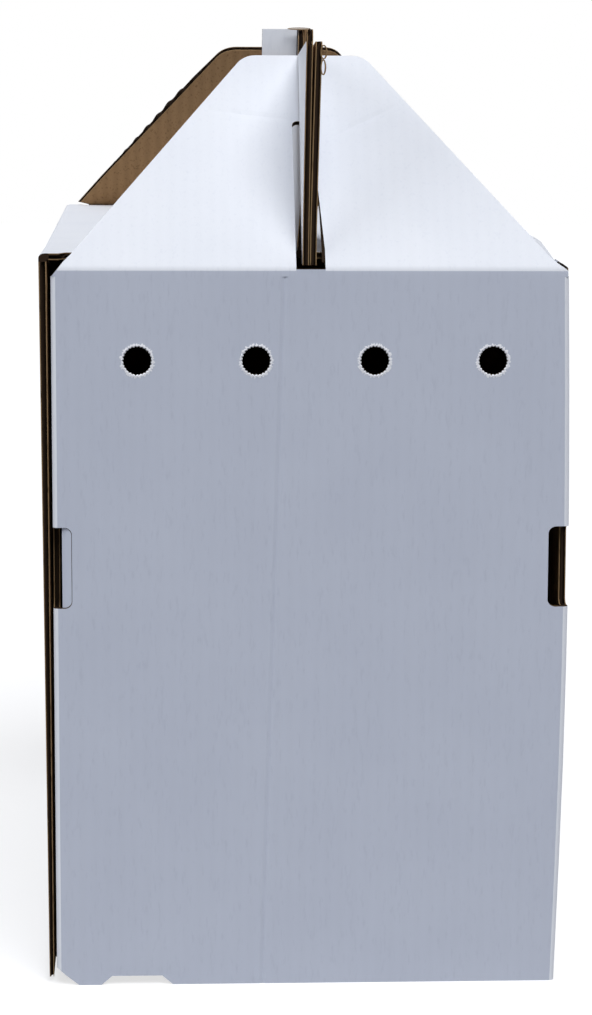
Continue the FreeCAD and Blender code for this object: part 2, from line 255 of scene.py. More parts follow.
# Torn fibre, whiter than the liner: partly its own colour, partly a painted highlight for fibres tilted up to
# the light.
TORN_FIBRE_AND_HIGHLIGHT = PaperFinish(
    "torn_white_fibre_and_highlight", "#f7f8fc", "#eef0f5", "#d9dce4", roughness=0.9, specular=0.15, cloud_mm=3.0,
    fibre_mm=0.7, fleck_amount=0.4, washboard_shade=0.0, bump_mm=0.15
)


class Paper:
    """The materials of all board, made once for each run of the flutes."""

    def __init__(self) -> None:
        """Make the layers of a board for both runs, and the torn fibre, whose colour carries a painted
        highlight.
        """
        layers = (WHITE_LINER, KRAFT_LINER, FLUTING_PAINTED_SHADE, CUT_EDGE, END_LINER_PAINTED_SHADE)
        self.layers = {run: [finish.make(run) for finish in layers] for run in FluteRun}
        # The torn fibre, with a painted highlight in its colour.
        self.torn = TORN_FIBRE_AND_HIGHLIGHT.make(FluteRun.ACROSS_X)


@dataclass
class CarrierFrame:
    """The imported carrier's main places, in metres, read from its nodes."""

    left: float = 0.0
    right: float = 0.0
    front: float = 0.0
    rear: float = 0.0
    front_left: float = 0.0
    end_height: float = 0.0
    side_height: float = 0.0
    board: float = 0.0
    side_setback: float = 0.0
    lean: float = math.radians(38.9)
    handle_split: float = mm(0.6)

    @classmethod
    def read(cls) -> "CarrierFrame":
        """Read the places from the node boxes."""
        front_low, front_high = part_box("front_end_panel")
        _, rear_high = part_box("rear_end_panel")
        side_low, side_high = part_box("left_side_panel")
        return cls(
            left=side_low.x,
            right=front_high.x,
            front=front_low.y,
            rear=rear_high.y,
            front_left=front_low.x,
            end_height=front_high.z,
            side_height=side_high.z,
            board=front_high.y - front_low.y,
            side_setback=side_low.y - front_low.y,
        )

    def flap_foot(self, front: bool) -> Vector:
        """The middle of an end flap's crease."""
        return Vector((0, self.front if front else self.rear, self.end_height))

    def flap_up(self, front: bool) -> Vector:
        """Unit vector up an end flap from its crease."""
        inward = math.sin(self.lean) * (1.0 if front else -1.0)
        return Vector((0, inward, math.cos(self.lean)))

    def flap_out(self, front: bool) -> Vector:
        """Unit vector out of an end flap's white face."""
        return Vector((0, math.cos(self.lean) * (-1.0 if front else 1.0), math.sin(self.lean)))


def close_cut(bm: bmesh.types.BMesh, cut: list) -> None:
    """Fill the opening that a bisect left, holes included."""
    edges = [e for e in cut if isinstance(e, bmesh.types.BMEdge) and e.is_valid and len(e.link_faces) == 1]
    if edges:
        bmesh.ops.triangle_fill(bm, use_beauty=True, use_dissolve=False, edges=edges)


def slice_off(bm: bmesh.types.BMesh, place: Vector, normal: Vector) -> None:
    """Cut away what lies on the side of the plane that its normal points to, and close the cut."""
    geometry = bm.verts[:] + bm.edges[:] + bm.faces[:]
    result = bmesh.ops.bisect_plane(
        bm, geom=geometry, dist=ON_PLANE, plane_co=place, plane_no=normal, clear_outer=True, clear_inner=False
    )
    close_cut(bm, result["geom_cut"])


def score(bm: bmesh.types.BMesh, place: Vector, normal: Vector) -> None:
    """Cut edges into every face along a plane, so that the board can bend there."""
    geometry = bm.verts[:] + bm.edges[:] + bm.faces[:]
    bmesh.ops.bisect_plane(bm, geom=geometry, dist=ON_PLANE, plane_co=place, plane_no=normal)


def extrude(bm: bmesh.types.BMesh, faces: list, offset: Vector, keep: bool = True) -> None:
    """Extrude faces by an offset, and keep or lose the faces that they start from."""
    grown = bmesh.ops.extrude_face_region(bm, geom=faces, use_keep_orig=keep)
    moved = [v for v in grown["geom"] if isinstance(v, bmesh.types.BMVert)]
    bmesh.ops.translate(bm, verts=moved, vec=offset)


def new_piece(name: str, bm: bmesh.types.BMesh, materials: list, soft: bool = True) -> bpy.types.Object:
    """Turn a mesh into an object at the origin, with soft shading inside its sharp edges.

    Args:
        name: The piece's name.
        bm: Its mesh, which is freed.
        materials: The materials in the order of the face indices.
        soft: Whether the faces are shaded smoothly up to the sharp edges.

    Returns:
        The linked object.
    """
    for face in bm.faces:
        face.smooth = soft
    for edge in bm.edges:
        edge.smooth = len(edge.link_faces) == 2 and edge.calc_face_angle(math.pi) < SHARP_ANGLE
    mesh = bpy.data.meshes.new(name)
    bm.to_mesh(mesh)
    bm.free()
    for material in materials:
        mesh.materials.append(material)
    piece = bpy.data.objects.new(name, mesh)
    bpy.context.scene.collection.objects.link(piece)
    return piece


def shared_solid(sheet: bmesh.types.BMesh, outline: bmesh.types.BMesh) -> bpy.types.Mesh:
    """A new mesh of the part of a closed sheet that lies inside a closed outline."""
    objects = []
    for name, bm in (("sheet", sheet), ("outline", outline)):
        mesh = bpy.data.meshes.new(name)
        bm.to_mesh(mesh)
        item = bpy.data.objects.new(name, mesh)
        bpy.context.scene.collection.objects.link(item)
        objects.append(item)
    modifier = objects[0].modifiers.new("trim", "BOOLEAN")
    modifier.operation = "INTERSECT"
    modifier.solver = "EXACT"
    modifier.object = objects[1]
    graph = bpy.context.evaluated_depsgraph_get()
    result = bpy.data.meshes.new_from_object(objects[0].evaluated_get(graph))
    for item in objects:
        mesh = item.data
        bpy.data.objects.remove(item)
        bpy.data.meshes.remove(mesh)
    return result


Warp = Callable[[Vector], Vector]


@dataclass
class BoardPanel:
    """One flat panel of corrugated board, which stands for a node of the frame."""

    node: str
    body: str
    outward: Vector
    run: FluteRun
    liner: float = mm(0.5)
    medium: float = mm(0.35)
    pitch: float = mm(7.2)
    steps: int = 8
    spare: float = mm(2.0)
    swing_share: float = 0.98
    trims: list[tuple[Vector, Vector]] = field(default_factory=list)
    scores: list[tuple[Vector, Vector]] = field(default_factory=list)
    warp: Warp | None = None
    # Whether the white face takes the greyer copy of the liner, with painted shade.
    end_white: bool = False

    def outline(self, node: bpy.types.Object) -> bmesh.types.BMesh:
        """A closed copy of the node's solid, cut back at its creases."""
        bm = bmesh.new()
        bm.from_mesh(node.data)
        bmesh.ops.remove_doubles(bm, verts=bm.verts[:], dist=WELD)
        for place, normal in self.trims:
            slice_off(bm, place, normal)
        bmesh.ops.recalc_face_normals(bm, faces=bm.faces[:])
        return bm

    def liner_sheet(self, outline: bmesh.types.BMesh, depth: float, outer: bool) -> bmesh.types.BMesh:
        """Slice one liner off the board.

        Args:
            outline: The board's solid.
            depth: Distance of the slice along the outward normal.
            outer: Whether this is the white liner.

        Returns:
            The liner's mesh with its material indices set.
        """
        bm = outline.copy()
        normal = -self.outward if outer else self.outward
        slice_off(bm, self.outward * depth, normal)
        bmesh.ops.recalc_face_normals(bm, faces=bm.faces[:])
        # End panels take the greyer copy of the white liner, with painted shade.
        white = Layer.END_WHITE if self.end_white else Layer.WHITE
        face_layer = white if outer else Layer.KRAFT
        for face in bm.faces:
            facing = face.normal.dot(self.outward)
            shown = facing if outer else -facing
            face.material_index = (face_layer if shown > 0.5 else Layer.CUT).value
            if shown < -0.5:
                face.material_index = Layer.FLUTING_PAINTED_SHADE.value
        return bm

    def fluted_sheet(self, outline: bmesh.types.BMesh, low: float, high: float) -> bpy.types.Mesh:
        """Make the waved sheet between the liners, trimmed to the board's outline.

        Args:
            outline: The board's solid.
            low: Inner end of the gap between the liners, along the outward normal.
            high: Outer end of that gap.

        Returns:
            The trimmed sheet.
        """
        across = self.run.vector
        across = (across - self.outward * across.dot(self.outward)).normalized()
        along = self.outward.cross(across).normalized()
        spare = self.spare
        u = [v.co.dot(across) for v in outline.verts]
        w = [v.co.dot(along) for v in outline.verts]
        start = math.floor((min(u) - spare) / self.pitch) * self.pitch
        waves = math.ceil((max(u) + spare - start) / self.pitch)
        middle = (low + high - self.medium) / 2.0
        swing = (high - low - self.medium) / 2.0 * self.swing_share
        bm = bmesh.new()
        bmesh.ops.create_grid(bm, x_segments=waves * self.steps, y_segments=1, size=0.5)
        for vert in bm.verts:
            travel = (vert.co.x + 0.5) * waves * self.pitch
            rise = middle + swing * math.sin(2.0 * math.pi * travel / self.pitch)
            reach = min(w) - spare + (vert.co.y + 0.5) * (max(w) - min(w) + 2.0 * spare)
            vert.co = across * (start + travel) + along * reach + self.outward * rise
        extrude(bm, bm.faces[:], self.outward * self.medium, keep=False)
        bmesh.ops.recalc_face_normals(bm, faces=bm.faces[:])
        trimmed = shared_solid(bm, outline)
        bm.free()
        return trimmed

    def build(self, node: bpy.types.Object, paper: Paper) -> None:
        """Build the board, and let it stand for its node and ride on its body."""
        outline = self.outline(node)
        depths = [v.co.dot(self.outward) for v in outline.verts]
        high = max(depths) - self.liner
        low = min(depths) + self.liner
        board = bmesh.new()
        for depth, outer in ((high, True), (low, False)):
            sheet = self.liner_sheet(outline, depth, outer)
            mesh = bpy.data.meshes.new("liner")
            sheet.to_mesh(mesh)
            sheet.free()
            board.from_mesh(mesh)
            bpy.data.meshes.remove(mesh)
        fluted = self.fluted_sheet(outline, low, high)
        for polygon in fluted.polygons:
            polygon.material_index = Layer.FLUTING_PAINTED_SHADE.value
        board.from_mesh(fluted)
        bpy.data.meshes.remove(fluted)
        outline.free()
        for place, normal in self.scores:
            score(board, place, normal)
        if self.warp:
            for vert in board.verts:
                vert.co = vert.co + self.warp(vert.co)
        piece = new_piece(f"board_{self.node}", board, paper.layers[self.run], soft=False)
        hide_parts(self.node)
        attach(piece, self.body)
        LOG.info("%s: %d faces", piece.name, len(piece.data.polygons))


def rounded_corner(start: Vector, corner: Vector, end: Vector, radius: float, steps: int) -> list[Vector]:
    """Points from start to end with the corner between them rounded.

    Args:
        start: First point.
        corner: The sharp corner.
        end: Last point.
        radius: Radius of the rounding.
        steps: Number of straight steps in the arc.

    Returns:
        The points, both ends included.
    """
    a = (start - corner).normalized()
    b = (end - corner).normalized()
    half = a.angle(b) / 2.0
    reach = radius / math.tan(half)
    middle = corner + (a + b).normalized() * (radius / math.sin(half))
    first = corner + a * reach - middle
    last = corner + b * reach - middle
    turn = first.angle(last)
    points = [start]
    for i in range(steps + 1):
        share = i / steps
        blend = (first * math.sin((1 - share) * turn) + last * math.sin(share * turn)) / math.sin(turn)
        points.append(middle + blend)
    points.append(end)
    return points


@dataclass
class FoldBand:
    """A crease: the narrow band of board that bends between two panels."""

    name: str
    outer: list[Vector]
    inner: list[Vector]
    spans: list[tuple[Vector, Vector]]
    run: FluteRun
    bodies: tuple[str, ...]
    bend: tuple[Vector, Vector] | None = None
    warp: Warp | None = None
    # How squarely a white face must face out of an end to take the end panels' painted shade.
    painted_shade_from: float = 0.995

    def build(self, paper: Paper) -> None:
        """Build the band, and fix it to its first body unless it has a joint; a band with a joint stays
        unattached.
        """
        bm = bmesh.new()
        ring = self.outer + self.inner[::-1]
        count = len(ring)
        middles = [(ring[i] + ring[(i + 1) % count]) / 2.0 for i in range(count)]
        for start, end in self.spans:
            verts = [bm.verts.new(p + start) for p in ring]
            cap = bm.faces.new(verts)
            cap.material_index = Layer.FLUTING_PAINTED_SHADE.value
            extrude(bm, [cap], end - start)
            half = (start + end) / 2.0
            along = (end - start).normalized()
            for face in {f for v in verts for f in v.link_faces} - {cap}:
                place = face.calc_center_median() - half
                place = place - along * place.dot(along)
                gaps = [(place - (m - along * m.dot(along))).length for m in middles]
                index = gaps.index(min(gaps))
                if index < len(self.outer) - 1:
                    face.material_index = Layer.WHITE.value
                elif len(self.outer) <= index < count - 1:
                    face.material_index = Layer.KRAFT.value
                else:
                    face.material_index = Layer.FLUTING_PAINTED_SHADE.value
        bmesh.ops.recalc_face_normals(bm, faces=bm.faces[:])
        for face in bm.faces:
            # Faces that face straight out of an end take the greyer liner, with painted shade.
            if face.material_index == Layer.WHITE.value and abs(face.normal.y) > self.painted_shade_from:
                face.material_index = Layer.END_WHITE.value
        if self.warp:
            for vert in bm.verts:
                vert.co = vert.co + self.warp(vert.co)
        piece = new_piece(self.name, bm, paper.layers[self.run])
        if self.bend:
            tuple(self.bend[0])
            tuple(self.bend[1])
            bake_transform(piece)
        else:
            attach(piece, self.bodies[0])
        LOG.info("%s: %d faces", piece.name, len(piece.data.polygons))


@dataclass
class Carton:
    """All boards and creases of the carrier."""

    frame: CarrierFrame
    paper: Paper
    leg: float = mm(4.5)
    valley_leg: float = mm(2.2)
    valley_radius: float = mm(0.8)
    fold_radius: float = mm(2.6)
    flap_radius: float = mm(6.0)
    slot_low: float = mm(215.5)
    slot_high: float = mm(260.5)
    slot_left: float = mm(-5.0)
    slot_right: float = mm(8.2)
    slot_gape: float = mm(2.6)
    slot_gape_from: float = mm(12.0)
    slot_gape_to: float = mm(52.0)
    flap_half_base: float = mm(133.0)
    handle_foot: float = mm(19.9)
    corner_clip: float = mm(4.5)
    flap_splay: float = mm(6.6)
    corner_reach: float = mm(110.0)
    corner_bow: float = mm(3.6)
    corner_sink: float = mm(7.5)
    bow_width: float = mm(30.0)
    sink_from: float = mm(40.0)
    sink_rise: float = 1.6
    slot_hinge: float = mm(10.4)
    slot_slope: float = 0.3
    window_ease: float = mm(4.2)
    rear_spread: float = mm(10.0)
    rear_spread_width: float = mm(60.0)
    rear_spread_rise: float = mm(2.0)
    rear_stretch: float = 0.03
    # Both ends of each soft crease, across and up from the front flap's foot, in millimetres.
    dents: tuple[tuple[float, ...], ...] = ((-51.4, 106.0, -1.6, 99.0), (16.3, 87.6, 54.2, 109.5))
    dent_width: float = mm(3.0)
    dent_depth: float = mm(0.5)
    crease_place: float = mm(-22.0)
    crease_slant: float = 0.0275
    crease_width: float = mm(1.8)
    crease_depth: float = mm(0.5)
    lap_low: float = mm(10.2)
    clip_slope: float = 0.8
    relief_reach: float = mm(16.0)
    relief_out: tuple[float, ...] = (-0.9, -0.44, 0.0)
    lean_left: float = mm(1.8)
    lean_right: float = mm(3.0)
    lean_base: float = mm(2.2)
    lean_start: float = mm(4.0)
    lean_height: float = mm(127.0)
    lean_ramp: float = 6.0
    lean_curve: float = 1.2
    side_swing_top: float = mm(-1.2)
    side_swing_foot: float = mm(1.5)
    side_swing_reach: float = mm(90.0)
    row_heights: tuple[float, ...] = tuple(mm(18.0 * i) for i in range(1, 24))
    column_depths: tuple[float, ...] = tuple(map(mm, (12, 22, 41.25, 55, 70, 90, 110)))
    band_depths: tuple[float, ...] = tuple(map(mm, (0, 7, 17, 29, 45, 65, 87, 110)))
    roof_widths: tuple[float, ...] = tuple(map(mm, (40, 60, 90, 120)))

    def side_swing(self, place: Vector) -> Vector:
        """How far the left side panel's free front edge stands off its flat plane."""
        f = self.frame
        near = max(0.0, 1.0 - (place.y - f.front) / self.side_swing_reach)
        share = place.z / f.side_height
        offset = self.side_swing_foot + (self.side_swing_top - self.side_swing_foot) * share
        inboard = clamp((f.left + self.leg - place.x) / self.leg)
        return Vector((offset * near * near * inboard, 0, 0))

    def corner_sag(self, place: Vector) -> Vector:
        """How the right front corner bows out at mid height, and how the roof sinks behind its flap there."""
        f = self.frame
        near = max(0.0, 1.0 - (place.y - f.front) / self.corner_reach)
        beside = clamp(1.0 + (place.x - f.right) / self.bow_width)
        across = clamp((place.x - self.sink_from) / (f.right - self.sink_from))
        bow = self.corner_bow * math.sin(math.pi * clamp(place.z / f.side_height))
        sink = self.corner_sink * across if place.z > f.end_height + mm(1.0) else 0.0
        return Vector((bow * near * beside, 0, -sink * min(1.0, self.sink_rise * near)))

    def flap_dents(self) -> list[tuple[Vector, Vector]]:
        """Both ends of each soft crease that bending has left on the front flap."""
        up, foot = self.frame.flap_up(True), self.frame.flap_foot(True)
        return [
            (foot + X * mm(a) + up * mm(b), foot + X * mm(c) + up * mm(d)) for a, b, c, d in self.dents
        ]

    def dent_scores(self, outward: Vector) -> list[tuple[Vector, Vector]]:
        """The cuts that let the front flap bend along its soft creases."""
        scores = []
        for first, last in self.flap_dents():
            line = last - first
            side = outward.cross(line).normalized()
            scores += [(first + side * self.dent_width * k, side) for k in (-1, 0, 1)]
            scores += [(first + line * share, line.normalized()) for share in (0.0, 0.25, 0.5, 0.75, 1.0)]
        up, foot = self.frame.flap_up(True), self.frame.flap_foot(True)
        return scores + [(foot + up * reach, up) for reach in (self.slot_gape_from, self.slot_gape_to)]

    def dented(self, place: Vector) -> Vector:
        """How far the front flap is pressed in along its soft creases, and its slot pushed open."""
        f = self.frame
        outward = f.flap_out(True)
        depth = 0.0
        for first, last in self.flap_dents():
            line = last - first
            share = (place - first).dot(line) / line.length_squared
            off = abs((place - first).dot(outward.cross(line).normalized()))
            if 0.0 < share < 1.0 and off < self.dent_width:
                depth += self.dent_depth * math.sin(math.pi * share) * (1.0 - off / self.dent_width)
        climb = (place - f.flap_foot(True)).dot(f.flap_up(True))
        gape = clamp((self.slot_gape_to - climb) / (self.slot_gape_to - self.slot_gape_from))
        pushed = self.slot_gape * gape if abs(place.x - self.slot_right) < mm(0.3) else 0.0
        return outward * -depth + Vector((pushed, 0, 0))

    def lap_foot(self, place: Vector) -> Vector:
        """Let the foot of the left front crease follow the clipped corner of the front panel."""
        f = self.frame
        clipped = place.y < 0 and place.z < self.lap_low + mm(0.1)
        return Vector((0, 0, -self.clip_slope * max(0.0, place.x - f.front_left) if clipped else 0.0))

    def slot_push(self, place: Vector) -> Vector:
        """The slot flap's free edge is pushed in a little."""
        before_hinge = max(0.0, self.frame.front_left + self.slot_hinge - place.x)
        return Vector((0, self.slot_slope * before_hinge, 0))

    def handle_lean(self, top_shift: float, creased: bool = True) -> Warp:
        """A slight lean of a handle board to the right, growing from its crease to its top.

        Args:
            top_shift: What the top leans further than the foot.
            creased: Whether the board's foot is held by a crease.

        Returns:
            The shift at each place.
        """
        f = self.frame

        def shift(place: Vector) -> Vector:
            """Sideways shift at a place on the board."""
            share = (place.z - f.side_height - self.lean_start) / self.lean_height
            base = self.lean_base * (clamp(share * self.lean_ramp) if creased else 1.0)
            return Vector((base + top_shift * max(0.0, share) ** self.lean_curve, 0, 0))

        return shift

    def left_handle_shape(self, place: Vector) -> Vector:
        """The left handle board's lean, with its window opened a little at the wing's crease."""
        low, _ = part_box("lock_wing")
        shift = self.handle_lean(self.lean_left)(place)
        if abs(place.y - low.y) < mm(0.9) and place.z > low.z - mm(1.0):
            shift.y -= self.window_ease
        return shift

    def rear_flap_spread(self, place: Vector) -> Vector:
        """The rear flap stands a little higher than the front one and reaches further to the left."""
        f = self.frame
        above = max(0.0, place.z - f.side_height)
        left = clamp(-place.x / self.rear_spread_width)
        stretch = f.flap_up(False) * (above * self.rear_stretch / math.cos(f.lean))
        spread = self.rear_spread * left * min(1.0, above / self.rear_spread_rise)
        return stretch + Vector((-spread, 0, 0))

    def slot_edge(self, front: bool) -> float:
        """The right edge of an end flap's slot, at its foot."""
        return self.slot_right + (self.slot_gape if front else 0.0)

    def panels(self) -> list[BoardPanel]:
        """Every board, with the cuts that make room for its creases and the scores that let it bend."""
        f = self.frame
        leg = self.leg
        across_x, across_y = FluteRun.ACROSS_X, FluteRun.ACROSS_Y
        front_up, rear_up, front_out = f.flap_up(True), f.flap_up(False), f.flap_out(True)
        inner_x = f.handle_split / 2.0 + f.board + self.valley_leg
        rows = [(Z * height, Z) for height in self.row_heights]
        columns = [(Y * (f.front + depth), Y) for depth in self.column_depths]
        across_roof = [(X * width, X) for width in self.roof_widths]
        bends = [(Z * (f.side_height + mm(10.0 * i)), Z) for i in range(1, 13)]
        spread = [(Z * (f.side_height + mm(d)), Z) for d in (0.2, 2.0, 20.0)]
        across_crease = Vector((1, 0, -self.crease_slant)).normalized()
        creases = [(X * (self.crease_place + self.crease_width * d), across_crease) for d in (-1, 0, 1)]
        end_top, side_top = (Z * (f.end_height - leg), Z), (Z * (f.side_height - leg), Z)
        left, right = (X * (f.left + leg), -X), (X * (f.right - leg), X)
        front, rear = (Y * (f.front + leg), -Y), (Y * (f.rear - leg), Y)
        front_left = (X * (f.front_left + leg), -X)
        relief_place = Vector((f.front_left + self.relief_reach, f.front + f.board, 0))
        relief = (relief_place, Vector(self.relief_out).normalized())
        front_foot = (f.flap_foot(True) + front_up * leg, -front_up)
        rear_foot = (f.flap_foot(False) + rear_up * leg, -rear_up)
        handle_foot = (Z * (f.side_height + self.valley_leg), -Z)
        panels = [
            BoardPanel(
                "front_end_panel",
                "carton",
                -Y,
                across_x,
                trims=[end_top, right, front_left],
                scores=creases + rows[::3],
                warp=self.front_shape,
                end_white=True,
            ),
            BoardPanel("rear_end_panel", "carton", Y, across_x, trims=[end_top, right, left], end_white=True),
            BoardPanel(
                "left_side_panel",
                "carton",
                -X,
                across_y,
                trims=[side_top, rear],
                scores=rows + columns,
                warp=self.side_swing,
            ),
            BoardPanel(
                "right_side_panel",
                "carton",
                X,
                across_y,
                trims=[side_top, rear, front],
                scores=rows[::3] + columns,
                warp=self.corner_sag,
            ),
            BoardPanel("corner_lap_flap", "carton", -X, across_y, trims=[front]),
            BoardPanel("left_slot_flap", "slot_flap", -Y, across_x, warp=self.slot_push, end_white=True),
            BoardPanel("front_bottom_flap", "carton", -Z, across_x),
            BoardPanel("rear_bottom_flap", "carton", -Z, across_x),
            BoardPanel("left_bottom_flap", "carton", -Z, across_y, trims=[relief]),
            BoardPanel("right_bottom_flap", "carton", -Z, across_y),
            BoardPanel("left_roof_panel", "left_roof", Z, across_y, trims=[left, (X * -inner_x, X)]),
            BoardPanel(
                "right_roof_panel",
                "right_roof",
                Z,
                across_y,
                trims=[right, (X * inner_x, -X)],
                scores=across_roof + columns,
                warp=self.corner_sag,
            ),
            BoardPanel(
                "front_end_flap",
                "front_flap",
                front_out,
                across_x,
                trims=[front_foot],
                scores=self.dent_scores(front_out),
                warp=self.dented,
            ),
            BoardPanel(
                "rear_end_flap",
                "rear_flap",
                f.flap_out(False),
                across_x,
                trims=[rear_foot],
                scores=spread,
                warp=self.rear_flap_spread,
            ),
            BoardPanel("lock_wing", "lock_wing_body", -Y, across_x, warp=self.handle_lean(self.lean_left)),
        ]
        for side, outward, top_shift, shape in (
            ("left", -X, self.lean_left, self.left_handle_shape),
            ("right", X, self.lean_right, self.handle_lean(self.lean_right)),
        ):
            body = f"{side}_handle"
            panels.append(
                BoardPanel(
                    f"{body}_panel", body, outward, across_y, trims=[handle_foot], scores=bends, warp=shape
                )
            )
            for end in ("front", "rear"):
                lean = self.handle_lean(top_shift, end == "rear")
                panels.append(
                    BoardPanel(f"{side}_{end}_ear", body, outward, across_y, scores=bends, warp=lean)
                )
        return panels

    def front_shape(self, place: Vector) -> Vector:
        """The front panel's faint upright crease, pressed in a little, and its bowed right edge."""
        distance = abs(place.x - self.crease_place - self.crease_slant * place.z)
        pressed = self.crease_depth * max(0.0, 1.0 - distance / self.crease_width)
        return self.corner_sag(place) + Vector((0, pressed, 0))

    def corner_band(
        self, name: str, corner: Vector, into: tuple[Vector, Vector], spans: list[tuple[float, float]]
    ) -> FoldBand:
        """An upright crease between an end panel and the board beside it.

        Args:
            name: The band's name.
            corner: The sharp outer corner, at floor level.
            into: Unit vectors from the corner along the two boards.
            spans: Lowest and highest point of each stretch.

        Returns:
            The band, fixed to the carton.
        """
        a, b = into
        t = self.frame.board
        outer = rounded_corner(corner + a * self.leg, corner, corner + b * self.leg, self.fold_radius, 6)
        inside = corner + (a + b) * t
        inner = [corner + a * self.leg + b * t, inside, corner + b * self.leg + a * t]
        stretches = []
        for low, high in spans:
            between = [height for height in self.row_heights[::3] if low < height < high]
            stops = [Z * height for height in (low, *between, high)]
            stretches += list(zip(stops, stops[1:]))
        warp = self.corner_sag if corner.x > 0 else self.lap_foot
        return FoldBand(name, outer, inner, stretches, FluteRun.ACROSS_X, ("carton",), warp=warp)

    def roof_band(self, side: str) -> FoldBand:
        """The crease between a side panel and its roof half."""
        f = self.frame
        sign = -1.0 if side == "left" else 1.0
        edge = f.left if side == "left" else f.right
        corner = Vector((edge, 0, f.side_height))
        down, inward = -Z, X * -sign
        first, last = corner + down * self.leg, corner + inward * self.leg
        outer = rounded_corner(first, corner, last, self.fold_radius, 6)
        inside = corner + (down + inward) * f.board
        inner = [first + inward * f.board, inside, last + down * f.board]
        reach = f.front + f.side_setback
        joints = [reach + depth for depth in self.band_depths] + [-reach]
        span = [(Y * a, Y * b) for a, b in zip(joints, joints[1:])]
        warp = self.side_swing if side == "left" else self.corner_sag
        bodies, bend = ("carton", f"{side}_roof"), (first, last)
        return FoldBand(f"crease_{side}_roof", outer, inner, span, FluteRun.ACROSS_Y, bodies, bend, warp)

    def handle_band(self, side: str) -> FoldBand:
        """The crease between a roof half and its handle board."""
        f = self.frame
        sign = -1.0 if side == "left" else 1.0
        outward, up = X * sign, Z
        kraft_corner = Vector((sign * f.handle_split / 2.0, 0, f.side_height - f.board))
        white_corner = kraft_corner + outward * f.board + up * f.board
        roof_white = white_corner + outward * self.valley_leg
        handle_white = white_corner + up * self.valley_leg
        outer = rounded_corner(roof_white, white_corner, handle_white, self.valley_radius, 4)
        roof_kraft = roof_white - up * f.board
        handle_kraft = handle_white - outward * f.board
        inner = rounded_corner(roof_kraft, kraft_corner, handle_kraft, self.fold_radius, 6)
        reach = f.front + self.handle_foot
        span = [(Y * reach, Y * -reach)]
        bodies, bend = (f"{side}_roof", f"{side}_handle"), (roof_kraft, handle_kraft)
        return FoldBand(f"crease_{side}_handle", outer, inner, span, FluteRun.ACROSS_Y, bodies, bend)

    def flap_band(self, end: str) -> FoldBand:
        """The crease between an end panel and its flap, broken at the handle's slot."""
        f = self.frame
        front = end == "front"
        corner = f.flap_foot(front)
        inward = Y if front else -Y
        down, up = -Z, f.flap_up(front)
        first, last = corner + down * self.leg, corner + up * self.leg
        outer = rounded_corner(first, corner, last, self.flap_radius, 5)
        inside = corner + inward * f.board + down * (f.board * math.tan(f.lean / 2.0))
        inner = [first + inward * f.board, inside, last - f.flap_out(front) * f.board]
        centre = (f.right + f.front_left) / 2.0
        half = self.flap_half_base
        spans = [(centre - half, self.slot_left), (self.slot_edge(front), centre + half)]
        stretches = [(X * low, X * high) for low, high in spans]

        def splay(place: Vector) -> Vector:
            """Carry the band's outer ends out to the corners of the end panel."""
            side = place.x - centre
            if abs(side) < half - mm(0.1):
                return Vector()
            low = first.z if side < 0 else f.end_height - mm(1.0)
            share = clamp((place.z - low) / (last.z - low))
            return X * math.copysign(self.flap_splay * (1.0 - share), side)

        bodies, bend = ("carton", f"{end}_flap"), (first, last)
        return FoldBand(f"crease_{end}_flap", outer, inner, stretches, FluteRun.ACROSS_X, bodies, bend, splay)

    def slot_sill(self, end: str) -> FoldBand:
        """The strip of end panel that closes the foot of the handle's slot, below the crease."""
        f = self.frame
        front = end == "front"
        inward = Vector((0, f.board if front else -f.board, 0))
        low = Vector((0, f.front if front else f.rear, f.end_height - self.leg))
        high = low + Vector((0, 0, self.leg - mm(0.5)))
        span = [(X * self.slot_left, X * self.slot_edge(front))]
        inner = [low + inward, high + inward]
        return FoldBand(f"slot_sill_{end}", [low, high], inner, span, FluteRun.ACROSS_X, ("carton",))

    def bands(self) -> list[FoldBand]:
        """Every crease of the carrier."""
        f = self.frame
        top = f.end_height - self.corner_clip
        slotted = [(0.0, self.slot_low), (self.slot_high, top)]
        lapped = [(self.lap_low, self.slot_low), (self.slot_high, top)]
        corners = (
            ("front_right", f.right, f.front, (-X, Y), slotted),
            ("front_left", f.front_left, f.front, (X, Y), lapped),
            ("rear_right", f.right, f.rear, (-X, -Y), [(0.0, top)]),
            ("rear_left", f.left, f.rear, (X, -Y), [(0.0, top)]),
        )
        bands = [
            self.corner_band(f"crease_{name}", Vector((x, y, 0)), into, spans)
            for name, x, y, into, spans in corners
        ]
        bands += [make(side) for make in (self.roof_band, self.handle_band) for side in ("left", "right")]
        return bands + [make(end) for make in (self.flap_band, self.slot_sill) for end in ("front", "rear")]

    def build(self, nodes: dict) -> None:
        """Build all boards, then all creases."""
        for panel in self.panels():
            panel.build(nodes[panel.node], self.paper)
        for band in self.bands():
            band.build(self.paper)


